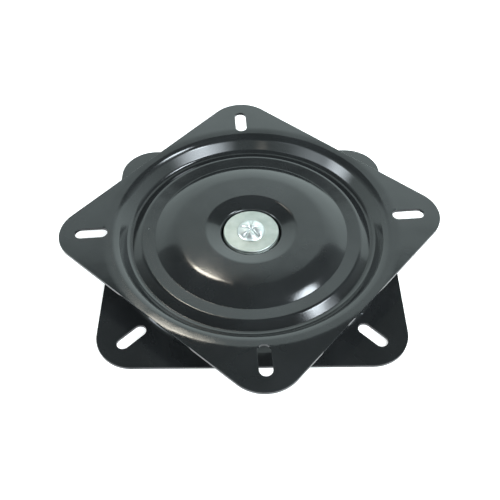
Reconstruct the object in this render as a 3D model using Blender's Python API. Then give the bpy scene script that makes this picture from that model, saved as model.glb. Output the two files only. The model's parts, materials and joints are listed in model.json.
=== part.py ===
"""Square swivel plate: a thrust ball bearing made of two pressed steel plates.

The lower plate is screwed down and the upper plate carries the load. One row of caged balls
runs between the two plates, and a small row of loose balls under the hub cup takes the upward
pull, so that the staked rivet holds the whole stack together.

Units are metres, +Z is up. The origin is on the swivel axis, at the underside of the lower
flange.
"""

import math

import bmesh
import bpy
from mathutils import Matrix, Vector

MM = 0.001

# Plates. Each is a square blank with round corners, pressed into rings round the axis.
PLATE_SIDE = 200 * MM
CORNER_RADIUS = 25 * MM
SHEET = 2 * MM
STACK_HEIGHT = 24.5 * MM
RIM_GAP = 0.4 * MM
UPPER_TURN = math.radians(48.9)

# Slots, one on each diagonal, pointing at the axis.
SLOT_COUNT = 4
SLOT_CIRCLE = 109.3 * MM
SLOT_LENGTH = 22 * MM
SLOT_WIDTH = 8.4 * MM

# Pressed section: radii of the bends and their depths below the flange face.
FLANGE_BEND = 92.6 * MM
FLOOR_BEND = 85.5 * MM
RACE_FOOT = 82.3 * MM
RACE_CREST = 76.2 * MM
RACE_CREST_DEPTH = 7.25 * MM
DOME_CREASE = 66.5 * MM
DOME_CREASE_DEPTH = 8.25 * MM
DOME_BEND = 56.7 * MM
DOME_DEPTH = 4.3 * MM
CRATER_RIM = 26.4 * MM
SEAT_BEND = 17.95 * MM
RIM_DEPTH = STACK_HEIGHT / 2 - SHEET - RIM_GAP / 2

# Running gap kept between neighbouring pieces.
CLEARANCE = 0.3 * MM

# Main row of balls, 3/16 inch, and its cage.
RACE_BALLS = 24
RACE_BALL_RADIUS = 4.763 / 2 * MM
RACE_PITCH = 73.4 * MM
CAGE_WIDTH = 8 * MM
CAGE_SHEET = 1 * MM
POCKET_PLAY = 0.5 * MM

# Hub row of balls, 1/8 inch, loose between the hub cup and the upper plate's seat.
HUB_BALLS = 28
HUB_BALL_RADIUS = 3.175 / 2 * MM
HUB_PITCH = 16 * MM

# Hub washer, the pressed cup below it that covers the hub balls, and the rivet.
WASHER_RADIUS = 19.2 * MM
WASHER_DEPTH = 7.7 * MM
WASHER_THICKNESS = 1.54 * MM
WASHER_CHAMFER = 0.4 * MM
CUP_RADIUS = 19.9 * MM
CUP_SHEET = 1.4 * MM
CUP_SHOULDER = 2 * MM
CUP_HEIGHT = 2.36 * MM
SHANK_RADIUS = 6 * MM
STAKED_RADIUS = 8.7 * MM
STAKED_HEIGHT = 2.2 * MM
STAKED_LOBES = 5
LOBE_SWELL = 0.05
FACTORY_HEAD_RADIUS = 10.5 * MM
FACTORY_HEAD_FOOT = 0.9 * MM
UPPER_HOLE = 7.5 * MM

# Heights worked out from the sizes above.
WASHER_TOP = STACK_HEIGHT - WASHER_DEPTH
CUP_TOP = WASHER_TOP - WASHER_THICKNESS - CLEARANCE
HUB_BALL_LEVEL = CUP_TOP - CUP_SHEET - CLEARANCE - HUB_BALL_RADIUS
SEAT_DEPTH = STACK_HEIGHT - (HUB_BALL_LEVEL - HUB_BALL_RADIUS - CLEARANCE)

# Facets.
SEGMENTS = 48
HUB_SEGMENTS = 30
POCKET_SEGMENTS = 8
ARC_STEP = math.radians(20)
CORNER_STEPS = 8
SMOOTH_LIMIT = math.radians(35)

ROUND = 2 * math.pi


def clear_scene():
    """Start from an empty scene."""
    for item in list(bpy.data.objects):
        bpy.data.objects.remove(item, do_unlink=True)


def finish(name, color, roughness, metallic):
    """A plain Principled material."""
    material = bpy.data.materials.new(name)
    material.use_nodes = True
    shader = material.node_tree.nodes["Principled BSDF"]
    shader.inputs["Base Color"].default_value = (*color, 1)
    shader.inputs["Roughness"].default_value = roughness
    shader.inputs["Metallic"].default_value = metallic
    return material


def add_object(name, bm, material=None):
    """Turn a bmesh into a named, smoothly shaded object in the scene."""
    mesh = bpy.data.meshes.new(name)
    bm.to_mesh(mesh)
    bm.free()
    mesh.shade_smooth()
    mesh.set_sharp_from_angle(angle=SMOOTH_LIMIT)
    if material:
        mesh.materials.append(material)
    item = bpy.data.objects.new(name, mesh)
    bpy.context.collection.objects.link(item)
    return item


def mark_cutter(item, host):
    """Hide a cutter and make it follow the piece that it cuts."""
    item.hide_render = True
    item.display_type = "WIRE"
    item.parent = host


def cut(item, cutter, operation):
    """Add an exact Boolean to a piece."""
    modifier = item.modifiers.new(cutter.name, "BOOLEAN")
    modifier.operation = operation
    modifier.solver = "EXACT"
    modifier.object = cutter


def bend(before, corner, after, radius):
    """Points of the arc that rounds one corner of a section."""
    toward = (before - corner).normalized()
    away = (after - corner).normalized()
    turn = math.pi - toward.angle(away)
    setback = radius * math.tan(turn / 2)
    center = corner + (toward + away).normalized() * (radius / math.cos(turn / 2))
    start = corner + toward * setback - center
    steps = max(1, math.ceil(turn / ARC_STEP - 1e-6))
    side = 1 if toward.x * away.y < toward.y * away.x else -1
    points = []
    for step in range(steps + 1):
        angle = side * turn * step / steps
        points.append(center + Matrix.Rotation(angle, 2) @ start)
    return points


def section_points(corners):
    """Points of an open section given as (radius, depth, bend radius) corners."""
    spots = [Vector((radius, -depth)) for radius, depth, _ in corners]
    points = [spots[0]]
    for index in range(1, len(corners) - 1):
        radius = corners[index][2]
        if radius:
            points += bend(spots[index - 1], spots[index], spots[index + 1], radius)
        else:
            points.append(spots[index])
    return points + [spots[-1]]


def turn_profile(points, segments, closed):
    """Spin a profile of (radius, height) points round Z."""
    bm = bmesh.new()
    verts = [bm.verts.new((point[0], 0, point[1])) for point in points]
    pairs = list(zip(verts, verts[1:]))
    if closed:
        pairs.append((verts[-1], verts[0]))
    edges = [bm.edges.new(pair) for pair in pairs]
    bmesh.ops.spin(
        bm,
        geom=verts + edges,
        cent=(0, 0, 0),
        axis=(0, 0, 1),
        angle=ROUND,
        steps=segments,
        use_merge=True,
    )
    bmesh.ops.remove_doubles(bm, verts=bm.verts, dist=1e-7)
    return bm


def turned_solid(name, points, segments, material):
    """A closed turned piece. An open profile has to start and end on the axis."""
    closed = points[0][0] > 0
    bm = turn_profile(points, segments, closed)
    bmesh.ops.recalc_face_normals(bm, faces=bm.faces)
    return add_object(name, bm, material)


def prism(outline, low, high):
    """A closed upright prism on a flat outline of (x, y) points."""
    bm = bmesh.new()
    face = bm.faces.new([bm.verts.new((x, y, low)) for x, y in outline])
    wall = bmesh.ops.extrude_face_region(bm, geom=[face])["geom"]
    top = [item for item in wall if isinstance(item, bmesh.types.BMVert)]
    bmesh.ops.translate(bm, verts=top, vec=(0, 0, high - low))
    bmesh.ops.recalc_face_normals(bm, faces=bm.faces)
    return bm


def rounded_square(side, radius):
    """Outline of a square with round corners, centred on the axis."""
    reach = side / 2 - radius
    outline = []
    for corner in range(4):
        quarter = math.pi / 2 * corner
        center = Matrix.Rotation(quarter, 2) @ Vector((reach, reach))
        for step in range(CORNER_STEPS + 1):
            angle = quarter + math.pi / 2 * step / CORNER_STEPS
            outline.append((center.x + radius * math.cos(angle), center.y + radius * math.sin(angle)))
    return outline


def slot_outline(angle):
    """Outline of one slot whose long axis points at the swivel axis."""
    radius = SLOT_WIDTH / 2
    straight = SLOT_LENGTH / 2 - radius
    outline = []
    for end in range(2):
        middle = SLOT_CIRCLE + straight * (1 - 2 * end)
        for step in range(CORNER_STEPS + 1):
            sweep = math.pi * (end - 0.5 + step / CORNER_STEPS)
            spot = Vector((middle + radius * math.cos(sweep), radius * math.sin(sweep)))
            outline.append(tuple(Matrix.Rotation(angle, 2) @ spot))
    return outline


def outer_section():
    """Bends that both plates share, from beyond the blank's corners to the dome."""
    return [
        (PLATE_SIDE, 0, 0),
        (FLANGE_BEND, 0, 8 * MM),
        (FLOOR_BEND, RIM_DEPTH, 4 * MM),
        (RACE_FOOT, RIM_DEPTH, 0),
        (RACE_CREST, RACE_CREST_DEPTH, 5 * MM),
        (DOME_CREASE, DOME_CREASE_DEPTH, 0),
        (DOME_BEND, DOME_DEPTH, 52 * MM),
    ]


def upper_section():
    """The upper plate goes on down into a crater, whose floor is the hub balls' seat."""
    return outer_section() + [
        (CRATER_RIM, DOME_DEPTH, 18 * MM),
        (SEAT_BEND, SEAT_DEPTH, 3 * MM),
        (UPPER_HOLE, SEAT_DEPTH, 0),
    ]


def lower_section():
    """The lower plate's dome stays flat up to the rivet."""
    return outer_section() + [(SHANK_RADIUS + CLEARANCE, DOME_DEPTH, 0)]


def blank_cutter(host):
    """Prism that trims a pressing to its square outline."""
    deep = 2 * STACK_HEIGHT
    item = add_object(host.name + "_blank", prism(rounded_square(PLATE_SIDE, CORNER_RADIUS), -deep, deep))
    mark_cutter(item, host)
    return item


def slot_cutter(host):
    """Four prisms that punch the slots on the diagonals."""
    punch = bmesh.new()
    for index in range(SLOT_COUNT):
        angle = ROUND * (index + 0.5) / SLOT_COUNT
        single = prism(slot_outline(angle), -2 * SHEET, SHEET)
        mesh = bpy.data.meshes.new("slot")
        single.to_mesh(mesh)
        single.free()
        punch.from_mesh(mesh)
    item = add_object(host.name + "_slots", punch)
    mark_cutter(item, host)
    return item


def pressed_plate(name, corners, material):
    """A pressed plate, flange face up at height 0, with its section below."""
    bm = turn_profile(section_points(corners), SEGMENTS, closed=False)
    bmesh.ops.recalc_face_normals(bm, faces=bm.faces)
    if sum(face.normal.z for face in bm.faces) < 0:
        bmesh.ops.reverse_faces(bm, faces=bm.faces)
    item = add_object(name, bm, material)
    sheet = item.modifiers.new("sheet", "SOLIDIFY")
    sheet.thickness = SHEET
    sheet.offset = -1
    sheet.use_even_offset = True
    cut(item, blank_cutter(item), "INTERSECT")
    cut(item, slot_cutter(item), "DIFFERENCE")
    return item


def make_plates(paint):
    """Two pressings face to face, the lower one turned over."""
    lower = pressed_plate("lower_plate", lower_section(), paint)
    lower.rotation_euler.x = math.pi
    upper = pressed_plate("upper_plate", upper_section(), paint)
    upper.location.z = STACK_HEIGHT
    upper.rotation_euler.z = UPPER_TURN


def ball_mesh(name, radius, material):
    """A faceted ball that every ball in a row shares."""
    bm = bmesh.new()
    bmesh.ops.create_icosphere(bm, subdivisions=2, radius=radius)
    mesh = bpy.data.meshes.new(name)
    bm.to_mesh(mesh)
    bm.free()
    mesh.shade_smooth()
    mesh.materials.append(material)
    return mesh


def ball_row(prefix, mesh, count, pitch, carrier):
    """Balls set evenly on a circle round the carrier, each turned to face the axis."""
    for index in range(count):
        angle = ROUND * index / count
        ball = bpy.data.objects.new(f"{prefix}_{index + 1:02d}", mesh)
        ball.location = (pitch * math.cos(angle), pitch * math.sin(angle), 0)
        ball.rotation_euler.z = angle
        ball.parent = carrier
        bpy.context.collection.objects.link(ball)


def pocket_cutter(cage):
    """Prisms that punch the cage's pockets."""
    radius = RACE_BALL_RADIUS + POCKET_PLAY
    punch = bmesh.new()
    for index in range(RACE_BALLS):
        angle = ROUND * index / RACE_BALLS
        place = Matrix.Rotation(angle, 4, "Z") @ Matrix.Translation((RACE_PITCH, 0, 0))
        bmesh.ops.create_cone(
            punch,
            cap_ends=True,
            segments=POCKET_SEGMENTS,
            radius1=radius,
            radius2=radius,
            depth=4 * CAGE_SHEET,
            matrix=place,
        )
    item = add_object("cage_pockets", punch)
    mark_cutter(item, cage)
    return item


def make_cage(material):
    """A flat ring at half height, with one pocket for each ball."""
    inner = RACE_PITCH - CAGE_WIDTH / 2
    outer = RACE_PITCH + CAGE_WIDTH / 2
    half = CAGE_SHEET / 2
    profile = [(inner, half), (outer, half), (outer, -half), (inner, -half)]
    cage = turned_solid("ball_cage", profile, SEGMENTS, material)
    cage.location.z = STACK_HEIGHT / 2
    cut(cage, pocket_cutter(cage), "DIFFERENCE")
    return cage


def make_hub_row(material):
    """Loose balls under the hub cup, carried by an empty on the axis."""
    carrier = bpy.data.objects.new("hub_row", None)
    carrier.location.z = HUB_BALL_LEVEL
    bpy.context.collection.objects.link(carrier)
    mesh = ball_mesh("hub_ball", HUB_BALL_RADIUS, material)
    ball_row("hub_ball", mesh, HUB_BALLS, HUB_PITCH, carrier)


def make_washer(material):
    """Flat hub washer with a chamfered upper edge."""
    bore = SHANK_RADIUS + CLEARANCE
    profile = [
        (bore, 0),
        (WASHER_RADIUS - WASHER_CHAMFER, 0),
        (WASHER_RADIUS, -WASHER_CHAMFER),
        (WASHER_RADIUS, -WASHER_THICKNESS),
        (bore, -WASHER_THICKNESS),
    ]
    washer = turned_solid("hub_washer", profile, HUB_SEGMENTS, material)
    washer.location.z = WASHER_TOP


def make_cup(material):
    """Pressed cup, open side down, whose rounded rim reaches down past the hub balls."""
    bore = SHANK_RADIUS + CLEARANCE
    inner = CUP_RADIUS - CUP_SHEET
    outside = [
        Vector((bore, 0)),
        Vector((CUP_RADIUS, 0)),
        Vector((CUP_RADIUS, -CUP_HEIGHT)),
    ]
    inside = [
        Vector((inner, -CUP_HEIGHT)),
        Vector((inner, -CUP_SHEET)),
        Vector((bore, -CUP_SHEET)),
    ]
    profile = [outside[0], *bend(*outside, CUP_SHOULDER), outside[2]]
    profile += [inside[0], *bend(*inside, CUP_SHOULDER - CUP_SHEET), inside[2]]
    cup = turned_solid("hub_cup", profile, HUB_SEGMENTS, material)
    cup.location.z = CUP_TOP


def stake_lobes(item, above):
    """Swell the staked end into lobes, as a punch leaves it."""
    for vert in item.data.vertices:
        if vert.co.z > above:
            angle = math.atan2(vert.co.y, vert.co.x)
            swell = 1 + LOBE_SWELL * math.cos(STAKED_LOBES * angle)
            vert.co.x *= swell
            vert.co.y *= swell


def make_rivet(material):
    """Rivet: factory head below the lower plate, shank, and end staked over the washer."""
    head_top = DOME_DEPTH - CLEARANCE
    seat = WASHER_TOP + CLEARANCE
    crown = seat + STAKED_HEIGHT
    dimple = 1.1 * MM
    profile = [
        (0, crown - dimple),
        (0.2 * STAKED_RADIUS, crown - dimple),
        (0.4 * STAKED_RADIUS, crown),
        (0.7 * STAKED_RADIUS, crown - 0.1 * STAKED_HEIGHT),
        (0.95 * STAKED_RADIUS, seat + 0.5 * STAKED_HEIGHT),
        (STAKED_RADIUS, seat),
        (SHANK_RADIUS, seat),
        (SHANK_RADIUS, head_top),
        (FACTORY_HEAD_RADIUS, head_top),
        (FACTORY_HEAD_RADIUS, head_top - 1.2 * MM),
        (0.8 * FACTORY_HEAD_RADIUS, FACTORY_HEAD_FOOT),
        (0, FACTORY_HEAD_FOOT),
    ]
    rivet = turned_solid("center_rivet", profile, HUB_SEGMENTS, material)
    stake_lobes(rivet, above=seat + CLEARANCE / 2)


def main():
    clear_scene()
    paint = finish("black_paint", (0.012, 0.013, 0.014), 0.16, 0)
    zinc = finish("zinc_plate", (0.72, 0.77, 0.74), 0.28, 1)
    steel = finish("ball_steel", (0.62, 0.62, 0.63), 0.12, 1)
    strip = finish("cage_steel", (0.42, 0.43, 0.44), 0.35, 1)
    make_plates(paint)
    cage = make_cage(strip)
    race_mesh = ball_mesh("race_ball", RACE_BALL_RADIUS, steel)
    ball_row("race_ball", race_mesh, RACE_BALLS, RACE_PITCH, cage)
    make_hub_row(steel)
    make_washer(zinc)
    make_cup(zinc)
    make_rivet(zinc)


main()
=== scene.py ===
"""Looks of the square swivel plate: two black pressed plates, a zinc washer and its staked rivet.

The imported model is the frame. Every piece here stands for one CAD node and rides on that node's
body. Units are metres, +Z is up, and the swivel axis is the Z axis.
"""

import json
import math

import bmesh
import bpy
from mathutils import Matrix, Vector

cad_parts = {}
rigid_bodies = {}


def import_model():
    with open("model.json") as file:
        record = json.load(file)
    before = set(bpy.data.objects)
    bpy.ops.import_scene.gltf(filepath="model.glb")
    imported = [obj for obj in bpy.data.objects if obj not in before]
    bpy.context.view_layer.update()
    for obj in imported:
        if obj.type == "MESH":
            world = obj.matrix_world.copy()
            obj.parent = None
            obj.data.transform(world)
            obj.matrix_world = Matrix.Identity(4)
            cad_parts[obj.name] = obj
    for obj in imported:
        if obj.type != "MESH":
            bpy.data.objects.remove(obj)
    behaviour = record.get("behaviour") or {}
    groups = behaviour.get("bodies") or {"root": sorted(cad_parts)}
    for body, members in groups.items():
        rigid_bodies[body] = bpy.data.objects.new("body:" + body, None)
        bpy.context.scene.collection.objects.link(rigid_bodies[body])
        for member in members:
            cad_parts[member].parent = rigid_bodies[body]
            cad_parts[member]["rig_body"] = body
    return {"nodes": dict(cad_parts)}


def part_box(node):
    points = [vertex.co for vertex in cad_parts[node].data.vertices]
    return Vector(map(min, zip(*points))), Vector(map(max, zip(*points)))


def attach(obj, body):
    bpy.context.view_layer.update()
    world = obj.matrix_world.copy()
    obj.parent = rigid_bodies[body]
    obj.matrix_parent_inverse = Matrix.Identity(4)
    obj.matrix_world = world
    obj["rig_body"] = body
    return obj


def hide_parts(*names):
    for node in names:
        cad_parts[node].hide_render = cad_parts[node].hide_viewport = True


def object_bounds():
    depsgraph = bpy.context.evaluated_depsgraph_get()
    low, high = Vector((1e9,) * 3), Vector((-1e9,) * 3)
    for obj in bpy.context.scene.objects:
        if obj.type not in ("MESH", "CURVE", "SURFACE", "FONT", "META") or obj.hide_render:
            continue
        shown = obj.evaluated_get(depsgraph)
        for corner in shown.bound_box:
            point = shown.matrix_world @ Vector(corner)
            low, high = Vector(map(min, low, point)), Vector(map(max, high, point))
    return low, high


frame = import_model()
CAD_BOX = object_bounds()

MM = 0.001
ROUND = 2 * math.pi
QUARTER = ROUND / 4

# Plates: the square blank, its slots and the cut edge.
PLATE_SIDE = 200 * MM
CORNER_RADIUS = 25 * MM
SHEET = 2 * MM
SLOT_CIRCLE = 109.3 * MM
SLOT_LENGTH = 22 * MM
SLOT_WIDTH = 8.4 * MM
CUT_EDGE = 0.22 * MM
UPPER_TURN = math.radians(48.9)

# Hub pieces: washer, cup and the holes round the shank.
CLEARANCE = 0.3 * MM
SHANK_RADIUS = 6 * MM
UPPER_HOLE = 7.5 * MM
WASHER_CHAMFER = 0.4 * MM
WASHER_LIP = 0.1 * MM
WASHER_FOOT_CHAMFER = 0.2 * MM
BORE_CHAMFER = 0.3 * MM
CUP_SHEET = 1.4 * MM
CUP_SHOULDER = 2 * MM
HUB_EDGE = 0.12 * MM

# Rivet: its lower head, and the staked end with a star-shaped punch mark.
RIVET_HEAD = 10.5 * MM
RIVET_EDGE = 0.1 * MM
STAKED_RADIUS = 9.8 * MM
STAKE_LIFT = 0.2 * MM
STAKE_GAP = 0.02 * MM
STAKE_CROWN = 2.8 * MM
STAKE_MARK = 2.5 * MM
STAKE_GROOVE = 1.2 * MM
STAKE_LUMP = 0.3 * MM
STAKE_ARMS = 5

# Cage strip.
CAGE_WIDTH = 8 * MM
CAGE_SHEET = 1 * MM
POCKET_RADIUS = 2.88 * MM

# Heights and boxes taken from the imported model.
FLOOR_LEVEL = CAD_BOX[0].z
STACK_TOP = CAD_BOX[1].z
STACK_HEIGHT = STACK_TOP - FLOOR_LEVEL
RIM_DEPTH = STACK_HEIGHT / 2 - SHEET - 0.2 * MM
WASHER_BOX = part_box("hub_washer")
CUP_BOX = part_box("hub_cup")
RIVET_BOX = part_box("center_rivet")
HUB_BALL_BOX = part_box("hub_ball_01")
SEAT_DEPTH = STACK_TOP - HUB_BALL_BOX[0].z + CLEARANCE
HEAD_TOP = FLOOR_LEVEL + 4.0 * MM

# Fineness of the meshes.
SEGMENTS = 192
SIDE_STEPS = 6
CORNER_STEPS = 24
SLOT_STEPS = 16
HUB_SEGMENTS = 96
RIVET_SEGMENTS = 80
RIVET_RINGS = 22
CAGE_SEGMENTS = 144
POCKET_SEGMENTS = 32
BALL_CUTS = 7
ARC_STEP = math.radians(5)
BEVEL_LIMIT = math.radians(35)
SHARP_LIMIT = math.radians(50)
TURNED_WELD = 1e-7
PLATE_WELD = 1e-6

# The plate's rings end at RING_LIMIT. Outside SQUEEZE_FROM they are squeezed onto the straight side.
RING_LIMIT = PLATE_SIDE / 2 / math.cos(ROUND * SIDE_STEPS / SEGMENTS)
SQUEEZE_FROM = 95 * MM

# Camera: place, aim and lens of a product shot from the front, looking down at the hub.
CAMERA_PLACE = (0, -329.1 * MM, STACK_TOP + 355.1 * MM)
CAMERA_PITCH = math.radians(49.35)
CAMERA_YAW = math.radians(-0.17)
CAMERA_ROLL = math.radians(-0.69)
CAMERA_LENS = 50.69
FILM_WIDTH = 36

# Room that the gloss mirrors: radiance of the wall behind, the low skirt all round and the ceiling.
WALL_SLOPE = math.tan(math.radians(51))
WALL_LOW = 2.4
WALL_HIGH = 1.6
SKIRT_LIGHT = 1.2
CEILING_LIGHT = (0.078, 0.086, 0.074)
ROOM_TINT = (0.85, 1.0, 0.995)

# Gradients of the room: a range of the looked-at direction, and the two values at its ends.
WALL_BY_HEIGHT = (0.6, 0.77, WALL_LOW, WALL_HIGH)
WALL_AT_FOOT = (0.1, 0.6, 0.8, 1)
WALL_BY_DEPTH = (0.3, 0.95, 0.6, 1)
WALL_BY_SIDE = (-0.2, 0.2, 0.78, 1.1)
WALL_TOP_EDGE = (-0.012, 0.012, 1, 0)
SKIRT_BY_HEIGHT = (0.3, 0.8, SKIRT_LIGHT, 0)

# Soft lamps: azimuth, elevation, half width and half height in degrees, softness, radiance, colour.
COOL = (0.88, 0.97, 1.04)
WARM = (1.06, 0.99, 0.85)
LAMPS = (
    (5, 64, 7, 5, 0.55, 28, COOL),
    (-5, 57, 7, 5, 0.7, 5, COOL),
    (-48, 31, 14.5, 11, 0.85, 13, COOL),
    (-44, 40, 7, 4, 0.7, 18, COOL),
    (-167, 19, 8, 9, 0.9, 15, COOL),
    (-146, 26, 14, 10, 0.8, 3.5, COOL),
    (-130, 42, 12, 6, 0.8, 1.5, COOL),
    (-100, 33, 4, 4, 0.6, 2, WARM),
)

# Area lights: a wide one overhead, and a small warm one with a narrow beam behind the plates.
OVERHEAD_SIZE = (2.5, 2.5)
OVERHEAD_POWER = 12
OVERHEAD_PLACE = (0.8, -0.3, 3)
WARM_SIZE = (0.08, 0.045)
WARM_POWER = 0.003
WARM_PLACE = (-0.078, 0.254, 0.423)
WARM_AIM = (-0.022, -0.035, 0.02)
WARM_SPREAD = math.radians(20)

# Floor: half of its side, the gap under the plates, and its glow.
FLOOR_REACH = 6
FLOOR_GAP = 0.02 * MM
FLOOR_GLOW = 0.55

# Colours of the materials.
COAT_DARK = (0.011, 0.012, 0.0125)
COAT_LIGHT = (0.017, 0.018, 0.019)
DUST = (0.45, 0.47, 0.48)
WASHER_DARK = (0.36, 0.39, 0.37)
WASHER_LIGHT = (0.46, 0.49, 0.47)
# Rivet zinc is a lighter copy of the washer's zinc: painted light standing in for the bright
# highlights on its staked lumps.
RIVET_PAINTED_LIT_DARK = (0.56, 0.59, 0.58)
RIVET_PAINTED_LIT_LIGHT = (0.68, 0.70, 0.70)
STEEL_DARK = (0.72, 0.72, 0.73)
STEEL_LIGHT = (0.82, 0.82, 0.83)
STRIP_CLEAN = (0.50, 0.50, 0.51)
STRIP_STAINED = (0.33, 0.31, 0.28)
PAPER_DARK = (0.86, 0.84, 0.83)
PAPER_LIGHT = (0.88, 0.86, 0.85)

# Colour sockets of Blender's mix node.
MIX_FIRST = 6
MIX_SECOND = 7
MIX_RESULT = 2


# ---------------------------------------------------------------- sections


def bend(before, corner, after, radius):
    """Points of the arc that rounds one corner of a section."""
    toward = (before - corner).normalized()
    away = (after - corner).normalized()
    turn = math.pi - toward.angle(away)
    setback = radius * math.tan(turn / 2)
    center = corner + (toward + away).normalized() * (radius / math.cos(turn / 2))
    start = corner + toward * setback - center
    steps = max(2, math.ceil(turn / ARC_STEP))
    side = 1 if toward.x * away.y < toward.y * away.x else -1
    points = []
    for step in range(steps + 1):
        angle = side * turn * step / steps
        points.append(center + Matrix.Rotation(angle, 2) @ start)
    return points


def section_points(corners):
    """Points of an open section given as (radius, depth, bend radius) corners."""
    spots = [Vector((radius, -depth)) for radius, depth, _ in corners]
    points = [spots[0]]
    for index in range(1, len(corners) - 1):
        points += bend(spots[index - 1], spots[index], spots[index + 1], corners[index][2])
    return points + [spots[-1]]


def height_at(section, radius):
    """Height of a section at one radius. Its points run inwards."""
    for outer, inner in zip(section, section[1:]):
        if inner.x <= radius <= outer.x:
            part = (outer.x - radius) / (outer.x - inner.x)
            return outer.y + (inner.y - outer.y) * part
    return section[-1].y


def outer_section():
    """Bends that both plates share: flange, wall, rim ledge, ball race and dome."""
    return [
        (PLATE_SIDE, 0, 0),
        (100.5 * MM, 0, 30 * MM),
        (92.3 * MM, 0.7 * MM, 8 * MM),
        (85.1 * MM, RIM_DEPTH - 0.31 * MM, 4 * MM),
        (82.3 * MM, RIM_DEPTH - 0.1 * MM, 0.7 * MM),
        (76.2 * MM, 7.25 * MM, 5 * MM),
        (66.5 * MM, 8.25 * MM, 1.2 * MM),
        (57.6 * MM, 4.5 * MM, 42 * MM),
    ]


def upper_section():
    """The upper dome falls gently inwards, then steeply to the seat of the hub balls."""
    return outer_section() + [
        (31.4 * MM, 4.7 * MM, 7 * MM),
        (20.9 * MM, 8.1 * MM, 2.1 * MM),
        (20.1 * MM, SEAT_DEPTH, 1 * MM),
        (UPPER_HOLE, SEAT_DEPTH, 0),
    ]


def lower_section():
    """The lower plate's dome stays flat up to the rivet."""
    return outer_section() + [
        (30 * MM, 4.3 * MM, 40 * MM),
        (SHANK_RADIUS + CLEARANCE, 4.3 * MM, 0),
    ]


# ---------------------------------------------------------------- mesh helpers


def smooth_mesh(name, bm, material):
    """Turn a bmesh into a smoothly shaded mesh of one material."""
    mesh = bpy.data.meshes.new(name)
    bm.to_mesh(mesh)
    bm.free()
    mesh.shade_smooth()
    mesh.materials.append(material)
    return mesh


def add_object(name, data):
    """Put a mesh, a light or a camera into the scene."""
    item = bpy.data.objects.new(name, data)
    bpy.context.collection.objects.link(item)
    return item


def round_edges(item, width):
    """Round the sharp edges a little, so that they catch the light."""
    edge = item.modifiers.new("cut_edge", "BEVEL")
    edge.width = width
    edge.segments = 2
    edge.limit_method = "ANGLE"
    edge.angle_limit = BEVEL_LIMIT


def settle(item):
    """Bake the modifiers, then shade smoothly with the flats kept flat."""
    graph = bpy.context.evaluated_depsgraph_get()
    baked = bpy.data.meshes.new_from_object(item.evaluated_get(graph))
    item.modifiers.clear()
    item.data = baked
    baked.shade_smooth()
    baked.set_sharp_from_angle(angle=SHARP_LIMIT)
    item.modifiers.new("flat_normals", "WEIGHTED_NORMAL").keep_sharp = True


def cut(item, cutter):
    """Cut a solid out of a piece and drop the cutter."""
    punch = item.modifiers.new(cutter.name, "BOOLEAN")
    punch.operation = "DIFFERENCE"
    punch.solver = "EXACT"
    punch.object = cutter
    settle(item)
    bpy.data.objects.remove(cutter)


def turned_piece(name, points, segments, material):
    """A turned solid from (radius, height) points. A solid one starts and ends on the axis."""
    bm = bmesh.new()
    verts = [bm.verts.new((radius, 0, height)) for radius, height in points]
    edges = [bm.edges.new(pair) for pair in zip(verts, verts[1:])]
    if points[0][0] > 0:
        edges.append(bm.edges.new((verts[-1], verts[0])))
    bmesh.ops.spin(
        bm,
        geom=verts + edges,
        cent=(0, 0, 0),
        axis=(0, 0, 1),
        angle=ROUND,
        steps=segments,
        use_merge=True,
    )
    bmesh.ops.remove_doubles(bm, verts=bm.verts, dist=TURNED_WELD)
    bmesh.ops.recalc_face_normals(bm, faces=bm.faces)
    return add_object(name, smooth_mesh(name, bm, material))


# ---------------------------------------------------------------- plates


def side_reach(angle):
    """Radius where the rings stop: the straight side, or the circle through its two ends."""
    off = (angle + QUARTER / 2) % QUARTER - QUARTER / 2
    return min(PLATE_SIDE / 2 / math.cos(off), RING_LIMIT)


def ring_row(bm, section, radius):
    """One ring of vertices on the pressing, squeezed onto the straight sides near the edge."""
    row = []
    for step in range(SEGMENTS):
        angle = ROUND * step / SEGMENTS
        spread = (side_reach(angle) - SQUEEZE_FROM) / (RING_LIMIT - SQUEEZE_FROM)
        spot = radius
        if radius > SQUEEZE_FROM:
            spot = SQUEEZE_FROM + (radius - SQUEEZE_FROM) * spread
        place = (spot * math.cos(angle), spot * math.sin(angle), height_at(section, spot))
        row.append(bm.verts.new(place))
    return row


def arc_points(center, radius, start, end, steps):
    """Points of an arc, both ends included."""
    points = []
    for step in range(steps + 1):
        angle = start + (end - start) * step / steps
        points.append(center + Vector((math.cos(angle), math.sin(angle))) * radius)
    return points


def petal():
    """Outline of one flat corner of the flange, from the rings to the blank's edge."""
    first = ROUND * SIDE_STEPS / SEGMENTS
    steps = SEGMENTS // 4 - 2 * SIDE_STEPS
    outline = arc_points(Vector((0, 0)), RING_LIMIT, first, QUARTER - first, steps)
    reach = PLATE_SIDE / 2 - CORNER_RADIUS
    return outline + arc_points(Vector((reach, reach)), CORNER_RADIUS, QUARTER, 0, CORNER_STEPS)


def add_petals(bm):
    """The four flat corners of the flange, one face each."""
    outline = petal()
    for corner in range(4):
        quarter = Matrix.Rotation(QUARTER * corner, 2)
        turned = [quarter @ spot for spot in outline]
        bm.faces.new([bm.verts.new((spot.x, spot.y, 0)) for spot in turned])


def slot_ring(bm, height, growth):
    """One cross-section of the slot punch: an oblong on the X axis."""
    radius = SLOT_WIDTH / 2
    straight = SLOT_LENGTH / 2 - radius
    outer_end = Vector((SLOT_CIRCLE + straight, 0))
    inner_end = Vector((SLOT_CIRCLE - straight, 0))
    outline = arc_points(outer_end, radius + growth, -QUARTER, QUARTER, SLOT_STEPS)
    outline += arc_points(inner_end, radius + growth, QUARTER, 3 * QUARTER, SLOT_STEPS)
    return [bm.verts.new((spot.x, spot.y, height)) for spot in outline]


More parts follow.
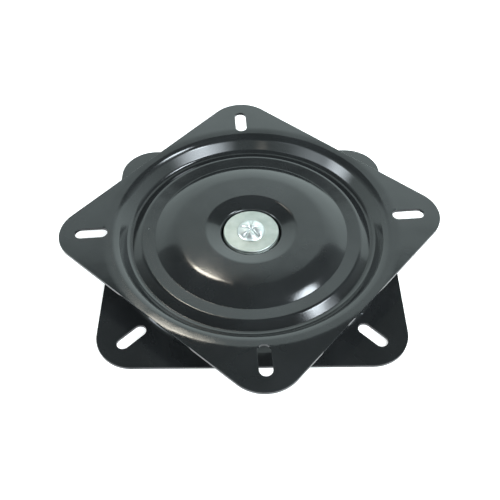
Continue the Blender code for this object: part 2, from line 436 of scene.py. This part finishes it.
def slot_punch(name, material):
    """Four oblong punches on the diagonals, flared where they enter, which leaves a rolled edge."""
    bm = bmesh.new()
    levels = ((1 * MM, 1 * MM + CUT_EDGE), (0, CUT_EDGE), (-CUT_EDGE, 0), (-4 * SHEET, 0))
    for corner in range(4):
        rings = [slot_ring(bm, height, growth) for height, growth in levels]
        for upper, lower in zip(rings, rings[1:]):
            for step in range(len(upper)):
                after = (step + 1) % len(upper)
                bm.faces.new((upper[step], lower[step], lower[after], upper[after]))
        bm.faces.new(rings[0])
        bm.faces.new(reversed(rings[-1]))
        turn = Matrix.Rotation(QUARTER * (corner + 0.5), 4, "Z")
        verts = [vert for ring in rings for vert in ring]
        bmesh.ops.transform(bm, matrix=turn, verts=verts)
    bmesh.ops.recalc_face_normals(bm, faces=bm.faces)
    return add_object(name, smooth_mesh(name, bm, material))


def plate_surface(section):
    """Top surface of a pressed plate, flange at height 0: rings to the bore, and four corners."""
    bm = bmesh.new()
    inner_radii = [point.x for point in section if point.x < RING_LIMIT - 0.1 * MM]
    rows = [ring_row(bm, section, radius) for radius in [RING_LIMIT] + inner_radii]
    for outer, inner in zip(rows, rows[1:]):
        for step in range(SEGMENTS):
            after = (step + 1) % SEGMENTS
            bm.faces.new((outer[step], outer[after], inner[after], inner[step]))
    add_petals(bm)
    bmesh.ops.remove_doubles(bm, verts=bm.verts, dist=PLATE_WELD)
    bmesh.ops.recalc_face_normals(bm, faces=bm.faces)
    if sum(face.normal.z for face in bm.faces) < 0:
        bmesh.ops.reverse_faces(bm, faces=bm.faces)
    return bm


def pressed_plate(name, corners, place, material):
    """A pressed plate set at its place, with the sheet's thickness and fine cut edges."""
    surface = plate_surface(section_points(corners))
    plate = add_object(name, smooth_mesh(name, surface, material))
    sheet = plate.modifiers.new("sheet", "SOLIDIFY")
    sheet.thickness = SHEET
    sheet.offset = -1
    sheet.use_even_offset = True
    round_edges(plate, CUT_EDGE)
    cut(plate, slot_punch(name + "_slots", material))
    plate.data.transform(place)
    return plate


def make_plates(material):
    """Two pressings face to face, the lower one turned over."""
    over = Matrix.Rotation(math.pi, 4, "X")
    over.translation.z = FLOOR_LEVEL
    lower = pressed_plate("lower_pressing", lower_section(), over, material)
    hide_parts("lower_plate")
    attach(lower, "base")
    up = Matrix.Translation((0, 0, STACK_TOP)) @ Matrix.Rotation(UPPER_TURN, 4, "Z")
    upper = pressed_plate("upper_pressing", upper_section(), up, material)
    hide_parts("upper_plate")
    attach(upper, "turntable")


# ---------------------------------------------------------------- hub


def make_washer(material):
    """Flat hub washer with a chamfered upper edge."""
    top = WASHER_BOX[1].z
    foot = WASHER_BOX[0].z
    rim = WASHER_BOX[1].x
    bore = SHANK_RADIUS + CLEARANCE
    profile = [
        (bore, top - WASHER_LIP),
        (bore + BORE_CHAMFER, top),
        (rim - WASHER_CHAMFER, top),
        (rim - WASHER_LIP, top - WASHER_CHAMFER * 0.7),
        (rim, top - WASHER_CHAMFER),
        (rim, foot + WASHER_FOOT_CHAMFER),
        (rim - WASHER_FOOT_CHAMFER, foot),
        (bore, foot),
    ]
    washer = turned_piece("washer", profile, HUB_SEGMENTS, material)
    round_edges(washer, HUB_EDGE)
    settle(washer)
    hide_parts("hub_washer")
    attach(washer, "base")


def make_cup(material):
    """Pressed cup under the washer, whose rounded rim reaches down past the hub balls."""
    top = CUP_BOX[1].z
    foot = CUP_BOX[0].z
    rim = CUP_BOX[1].x
    bore = SHANK_RADIUS + CLEARANCE
    outside = [Vector((bore, top)), Vector((rim, top)), Vector((rim, foot))]
    inside = [
        Vector((rim - CUP_SHEET, foot)),
        Vector((rim - CUP_SHEET, top - CUP_SHEET)),
        Vector((bore, top - CUP_SHEET)),
    ]
    profile = [outside[0], *bend(*outside, CUP_SHOULDER), outside[2]]
    profile += [inside[0], *bend(*inside, CUP_SHOULDER - CUP_SHEET), inside[2]]
    cup = turned_piece("ball_cup", profile, HUB_SEGMENTS, material)
    round_edges(cup, HUB_EDGE)
    settle(cup)
    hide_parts("hub_cup")
    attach(cup, "base")


def stake_height(radius, angle):
    """Height of the staked end: a crown, less a star-shaped mark and its grooves, plus lobes."""
    part = min(1, radius / STAKED_RADIUS)
    arms = 0.5 + 0.5 * math.cos(STAKE_ARMS * (angle - QUARTER))
    crown = STAKE_CROWN * (1 - part ** 3) ** 0.6
    mark = STAKE_MARK * max(0, 1 - part / (0.24 + 0.26 * arms ** 2))
    groove = STAKE_GROOVE * arms ** 5 * math.exp(-(((part - 0.66) / 0.32) ** 2))
    lump = STAKE_LUMP * math.sin(3 * angle + 1.0) * math.sin(math.pi * part)
    return crown - mark - groove + lump


def rivet_profile():
    """Half section of the rivet, its staked end still flat, in rings close enough to shape it."""
    rim = WASHER_BOX[1].z + STAKE_LIFT
    under_rim = WASHER_BOX[1].z + STAKE_GAP
    foot = RIVET_BOX[0].z
    profile = [(STAKED_RADIUS * step / RIVET_RINGS, rim) for step in range(RIVET_RINGS + 1)]
    return profile + [
        (STAKED_RADIUS * 0.985, under_rim),
        (SHANK_RADIUS, under_rim),
        (SHANK_RADIUS, HEAD_TOP),
        (RIVET_HEAD, HEAD_TOP),
        (RIVET_HEAD, HEAD_TOP - 1.0 * MM),
        (RIVET_HEAD * 0.93, foot + 1.1 * MM),
        (RIVET_HEAD * 0.8, foot + 0.3 * MM),
        (RIVET_HEAD * 0.6, foot),
        (0, foot),
    ]


def make_rivet(material):
    """Rivet: head under the lower plate, shank, and end staked over the washer."""
    rivet = turned_piece("staked_rivet", rivet_profile(), RIVET_SEGMENTS, material)
    rim = WASHER_BOX[1].z + STAKE_LIFT
    for vert in rivet.data.vertices:
        if vert.co.z > rim - STAKE_LIFT / 2:
            angle = math.atan2(vert.co.y, vert.co.x)
            vert.co.z = rim + stake_height(vert.co.xy.length, angle)
    round_edges(rivet, RIVET_EDGE)
    settle(rivet)
    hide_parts("center_rivet")
    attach(rivet, "base")


# ---------------------------------------------------------------- balls and cage


def ball_mesh(name, radius, material):
    """A ball made of quads: a finely cut cube pushed out to a sphere."""
    bm = bmesh.new()
    bmesh.ops.create_cube(bm, size=2)
    bmesh.ops.subdivide_edges(bm, edges=bm.edges, cuts=BALL_CUTS, use_grid_fill=True)
    for vert in bm.verts:
        spread = Vector([math.tan(side * math.pi / 4) for side in vert.co])
        vert.co = spread.normalized() * radius
    return smooth_mesh(name, bm, material)


def make_balls(prefix, material):
    """One ball for each CAD ball whose name has the prefix, riding on that ball's body."""
    names = sorted(name for name in frame["nodes"] if name.startswith(prefix))
    low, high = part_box(names[0])
    mesh = ball_mesh(prefix + "mesh", (high.z - low.z) / 2, material)
    for name in names:
        low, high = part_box(name)
        ball = add_object("steel_" + name, mesh)
        ball.location = (low + high) / 2
        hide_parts(name)
        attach(ball, frame["nodes"][name]["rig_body"])


def pocket_punch(material):
    """A short rod through the middle of each race ball."""
    bm = bmesh.new()
    for name in sorted(name for name in frame["nodes"] if name.startswith("race_ball")):
        low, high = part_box(name)
        bmesh.ops.create_cone(
            bm,
            cap_ends=True,
            segments=POCKET_SEGMENTS,
            radius1=POCKET_RADIUS,
            radius2=POCKET_RADIUS,
            depth=4 * CAGE_SHEET,
            matrix=Matrix.Translation((low + high) / 2),
        )
    return add_object("pocket_punch", smooth_mesh("pocket_punch", bm, material))


def make_cage(material):
    """A flat ring with a round pocket for each race ball."""
    low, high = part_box("ball_cage")
    outer = high.x
    inner = outer - CAGE_WIDTH
    profile = [(inner, high.z), (outer, high.z), (outer, low.z), (inner, low.z)]
    cage = turned_piece("cage_strip", profile, CAGE_SEGMENTS, material)
    cut(cage, pocket_punch(material))
    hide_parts("ball_cage")
    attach(cage, "ball_cage")


# ---------------------------------------------------------------- node trees


class Graph:
    """A node tree, built one node at a time."""

    def __init__(self, owner):
        owner.use_nodes = True
        self.tree = owner.node_tree

    def add(self, kind, **settings):
        """Add a node and set its properties."""
        item = self.tree.nodes.new(kind)
        for key, value in settings.items():
            setattr(item, key, value)
        return item

    def feed(self, socket, value):
        """Give an input a value, or join it to another node's output."""
        if isinstance(value, bpy.types.NodeSocket):
            self.tree.links.new(value, socket)
        else:
            socket.default_value = value

    def ramp(self, source, low, high, start, end, interpolation="LINEAR"):
        """Map a range of one value onto another, clamped."""
        spread = self.add("ShaderNodeMapRange", interpolation_type=interpolation)
        self.feed(spread.inputs["Value"], source)
        self.feed(spread.inputs["From Min"], low)
        self.feed(spread.inputs["From Max"], high)
        self.feed(spread.inputs["To Min"], start)
        self.feed(spread.inputs["To Max"], end)
        return spread.outputs["Result"]

    def math(self, operation, first, second=0):
        """One calculation on sockets or numbers."""
        item = self.add("ShaderNodeMath", operation=operation)
        self.feed(item.inputs[0], first)
        self.feed(item.inputs[1], second)
        return item.outputs[0]


class Recipe(Graph):
    """A material's node tree."""

    def __init__(self, name):
        self.material = bpy.data.materials.new(name)
        super().__init__(self.material)
        self.shader = self.tree.nodes["Principled BSDF"]
        self.place = self.add("ShaderNodeTexCoord").outputs["Object"]

    def plain(self, **values):
        """Set numbers on the shader's own sockets."""
        for key, value in values.items():
            self.feed(self.shader.inputs[key.replace("_", " ")], value)

    def noise(self, scale, detail, stretch=(1, 1, 1), distortion=0):
        """Noise of a scale in cells per metre, stretched if asked."""
        spread = self.add("ShaderNodeMapping")
        self.feed(spread.inputs["Scale"], stretch)
        self.feed(spread.inputs["Vector"], self.place)
        noise = self.add("ShaderNodeTexNoise")
        self.feed(noise.inputs["Vector"], spread.outputs["Vector"])
        self.feed(noise.inputs["Scale"], scale)
        self.feed(noise.inputs["Detail"], detail)
        self.feed(noise.inputs["Distortion"], distortion)
        return noise.outputs["Fac"]

    def blend(self, factor, first, second):
        """Mix two colours, given as values or as sockets."""
        mix = self.add("ShaderNodeMix", data_type="RGBA")
        self.feed(mix.inputs["Factor"], factor)
        for index, color in ((MIX_FIRST, first), (MIX_SECOND, second)):
            if isinstance(color, tuple):
                color = (*color, 1)
            self.feed(mix.inputs[index], color)
        return mix.outputs[MIX_RESULT]

    def bump(self, height, distance, under=None):
        """A bump, laid over another one if given."""
        item = self.add("ShaderNodeBump")
        self.feed(item.inputs["Strength"], 1.0)
        self.feed(item.inputs["Distance"], distance)
        self.feed(item.inputs["Height"], height)
        if under:
            self.feed(item.inputs["Normal"], under)
        return item.outputs["Normal"]

    def specks(self, scale, size, share):
        """1 inside small round specks, which a share of the cells have, and 0 elsewhere."""
        cells = self.add("ShaderNodeTexVoronoi")
        self.feed(cells.inputs["Vector"], self.place)
        self.feed(cells.inputs["Scale"], scale)
        near = self.math("LESS_THAN", cells.outputs["Distance"], size)
        pick = self.add("ShaderNodeSeparateColor")
        self.feed(pick.inputs["Color"], cells.outputs["Color"])
        chosen = self.math("LESS_THAN", pick.outputs["Red"], share)
        return self.math("MULTIPLY", near, chosen)

    def finish(self, color, roughness, normal):
        """Join the three maps to the shader."""
        self.feed(self.shader.inputs["Base Color"], color)
        self.feed(self.shader.inputs["Roughness"], roughness)
        self.feed(self.shader.inputs["Normal"], normal)
        return self.material


class Sky(Graph):
    """The world's node tree, whose values depend on the looked-at direction."""

    def __init__(self, world):
        super().__init__(world)
        self.direction = self.add("ShaderNodeTexCoord").outputs["Generated"]
        parts = self.add("ShaderNodeSeparateXYZ")
        self.feed(parts.inputs["Vector"], self.direction)
        self.right = parts.outputs["X"]
        self.back = parts.outputs["Y"]
        self.height = parts.outputs["Z"]

    def along(self, direction):
        """How far the looked-at direction goes along a fixed one."""
        item = self.add("ShaderNodeVectorMath", operation="DOT_PRODUCT")
        self.feed(item.inputs[0], self.direction)
        self.feed(item.inputs[1], direction)
        return item.outputs["Value"]

    def tint(self, strength, color):
        """A colour scaled by a strength."""
        item = self.add("ShaderNodeVectorMath", operation="SCALE")
        self.feed(item.inputs[0], color)
        self.feed(item.inputs["Scale"], strength)
        return item.outputs["Vector"]

    def plus(self, first, second):
        """Sum of two colours."""
        item = self.add("ShaderNodeVectorMath", operation="ADD")
        self.feed(item.inputs[0], first)
        self.feed(item.inputs[1], second)
        return item.outputs["Vector"]

    def glow(self, azimuth, elevation, width, height, soft, radiance):
        """Strength of an oval soft light. Width and height are half angles in degrees."""
        turn = math.radians(azimuth)
        rise = math.radians(elevation)
        level = (math.cos(turn), math.sin(turn))
        toward = (level[0] * math.cos(rise), level[1] * math.cos(rise), math.sin(rise))
        upward = (-level[0] * math.sin(rise), -level[1] * math.sin(rise), math.cos(rise))
        sideways = (-level[1], level[0], 0)
        across = self.math("DIVIDE", self.along(sideways), math.sin(math.radians(width)))
        upright = self.math("DIVIDE", self.along(upward), math.sin(math.radians(height)))
        squares = self.math("ADD", self.math("POWER", across, 2), self.math("POWER", upright, 2))
        distance = self.math("SQRT", squares)
        oval = self.ramp(distance, 1 - soft, 1 + soft, radiance, 0, "SMOOTHSTEP")
        return self.math("MULTIPLY", oval, self.math("GREATER_THAN", self.along(toward), 0))


# ---------------------------------------------------------------- materials


def black_coat():
    """Glossy black electro-coat on pressed steel: faint orange peel, smudges and dust specks."""
    coat = Recipe("black_coat")
    cloud = coat.noise(22, detail=5)
    smudge = coat.noise(70, detail=6, distortion=0.6)
    color = coat.blend(coat.ramp(cloud, 0.35, 0.7, 0, 1), COAT_DARK, COAT_LIGHT)
    dust = coat.specks(70, size=0.018, share=0.10)
    color = coat.blend(dust, color, DUST)
    rough = coat.ramp(smudge, 0.4, 0.75, 0.095, 0.14)
    rough = coat.math("ADD", rough, coat.math("MULTIPLY", dust, 0.4))
    wave = coat.bump(coat.noise(28, detail=2), 0.00025)
    peel = coat.bump(coat.noise(650, detail=3), 0.000012, under=wave)
    coat.plain(IOR=1.5, Specular_IOR_Level=0.5)
    return coat.finish(color, rough, peel)


def zinc_plate(name, dark, light):
    """Zinc plate with a faint green cast, fine scratches and soft blotches."""
    zinc = Recipe(name)
    blotch = zinc.noise(160, detail=4)
    scratch = zinc.noise(420, detail=5, stretch=(1, 7, 1))
    color = zinc.blend(zinc.ramp(blotch, 0.3, 0.7, 0, 1), dark, light)
    rough = zinc.ramp(scratch, 0.3, 0.75, 0.34, 0.46)
    grain = zinc.bump(scratch, 0.00002)
    dents = zinc.bump(zinc.noise(240, detail=2), 0.00008, under=grain)
    zinc.plain(Metallic=1.0)
    return zinc.finish(color, rough, dents)


def polished_steel():
    """Ball steel with faint rolling marks."""
    steel = Recipe("polished_steel")
    mark = steel.noise(900, detail=3)
    color = steel.blend(mark, STEEL_DARK, STEEL_LIGHT)
    rough = steel.ramp(mark, 0.3, 0.7, 0.06, 0.14)
    steel.plain(Metallic=1.0)
    return steel.finish(color, rough, steel.bump(mark, 0.000004))


def oiled_strip():
    """Cold-rolled cage strip with oil stains and rolling lines."""
    strip = Recipe("oiled_strip")
    stain = strip.noise(120, detail=5)
    lines = strip.noise(700, detail=3, stretch=(1, 12, 1))
    color = strip.blend(strip.ramp(stain, 0.35, 0.7, 0, 1), STRIP_CLEAN, STRIP_STAINED)
    rough = strip.ramp(lines, 0.3, 0.7, 0.28, 0.45)
    strip.plain(Metallic=1.0)
    return strip.finish(color, rough, strip.bump(lines, 0.00001))


def pale_floor():
    """Matt white paper with a glow of its own, as bright as the studio behind it."""
    paper = Recipe("pale_paper")
    grain = paper.noise(300, detail=4)
    color = paper.blend(grain, PAPER_DARK, PAPER_LIGHT)
    rough = paper.ramp(grain, 0.3, 0.7, 0.85, 0.95)
    paper.plain(Specular_IOR_Level=0.1, Emission_Color=(1, 1, 1, 1), Emission_Strength=FLOOR_GLOW)
    return paper.finish(color, rough, paper.bump(grain, 0.00002))


# ---------------------------------------------------------------- studio


def make_floor():
    """A wide flat floor just under the plates."""
    bm = bmesh.new()
    spots = ((-1, -1), (1, -1), (1, 1), (-1, 1))
    height = FLOOR_LEVEL - FLOOR_GAP
    bm.faces.new([bm.verts.new((x * FLOOR_REACH, y * FLOOR_REACH, height)) for x, y in spots])
    floor = add_object("floor", smooth_mesh("floor", bm, pale_floor()))


def wall_light(sky):
    """Radiance of the pale wall behind, shaded four ways, up to its straight top edge."""
    light = sky.ramp(sky.height, *WALL_BY_HEIGHT)
    light = sky.math("MULTIPLY", light, sky.ramp(sky.height, *WALL_AT_FOOT))
    light = sky.math("MULTIPLY", light, sky.ramp(sky.back, *WALL_BY_DEPTH))
    light = sky.math("MULTIPLY", light, sky.ramp(sky.right, *WALL_BY_SIDE))
    over_edge = sky.math("SUBTRACT", sky.height, sky.math("MULTIPLY", sky.back, WALL_SLOPE))
    return sky.math("MULTIPLY", light, sky.ramp(over_edge, *WALL_TOP_EDGE))


def make_room():
    """Studio surround: the wall, a low skirt all round, a dim ceiling and the soft lamps."""
    world = bpy.data.worlds.new("studio")
    bpy.context.scene.world = world
    sky = Sky(world)
    skirt = sky.ramp(sky.height, *SKIRT_BY_HEIGHT)
    room = sky.tint(sky.math("MAXIMUM", wall_light(sky), skirt), ROOM_TINT)
    total = sky.plus(room, CEILING_LIGHT)
    for *oval, color in LAMPS:
        total = sky.plus(total, sky.tint(sky.glow(*oval), color))
    sky.feed(sky.tree.nodes["Background"].inputs["Color"], total)


def area_light(name, shape, size, power, place, aim):
    """An area light at a place, turned to shine at another one."""
    data = bpy.data.lights.new(name, "AREA")
    data.shape = shape
    data.size, data.size_y = size
    data.energy = power
    item = add_object(name, data)
    item.location = place
    item.rotation_mode = "QUATERNION"
    item.rotation_quaternion = (Vector(place) - Vector(aim)).to_track_quat("Z", "Y")
    return item


def make_lights():
    """A wide soft light for the dull surfaces, unseen in the gloss, and a small warm one."""
    overhead = area_light(
        "overhead", "DISK", OVERHEAD_SIZE, OVERHEAD_POWER, OVERHEAD_PLACE, (0, 0, 0)
    )
    overhead.visible_glossy = False
    warm = area_light("warm_back", "ELLIPSE", WARM_SIZE, WARM_POWER, WARM_PLACE, WARM_AIM)
    warm.data.color = WARM
    warm.data.spread = WARM_SPREAD


def make_camera():
    """The product shot's camera."""
    data = bpy.data.cameras.new("camera")
    data.lens = CAMERA_LENS
    data.sensor_width = FILM_WIDTH
    heading = Vector((math.sin(CAMERA_YAW), math.cos(CAMERA_YAW), 0))
    ahead = heading * math.cos(CAMERA_PITCH) - Vector((0, 0, math.sin(CAMERA_PITCH)))
    right = Matrix.Rotation(-CAMERA_ROLL, 3, ahead) @ Vector((heading.y, -heading.x, 0))
    above = right.cross(ahead)
    item = add_object("camera", data)
    item.matrix_world = Matrix((right, above, -ahead)).transposed().to_4x4()
    item.location = CAMERA_PLACE
    bpy.context.scene.camera = item


def main():
    """Make every piece, then the studio round it."""
    bpy.context.scene.view_settings.view_transform = "Standard"
    washer_zinc = zinc_plate("washer_zinc", WASHER_DARK, WASHER_LIGHT)
    # Painted light: the rivet gets a lighter copy of the zinc, so its staked lumps read as brightly
    # lit.
    rivet_zinc_painted_lit = zinc_plate("rivet_zinc_painted_lit", RIVET_PAINTED_LIT_DARK, RIVET_PAINTED_LIT_LIGHT)
    steel = polished_steel()
    make_plates(black_coat())
    make_washer(washer_zinc)
    make_cup(washer_zinc)
    make_rivet(rivet_zinc_painted_lit)
    make_balls("race_ball", steel)
    make_balls("hub_ball", steel)
    make_cage(oiled_strip())
    make_floor()
    make_room()
    make_lights()
    make_camera()


main()
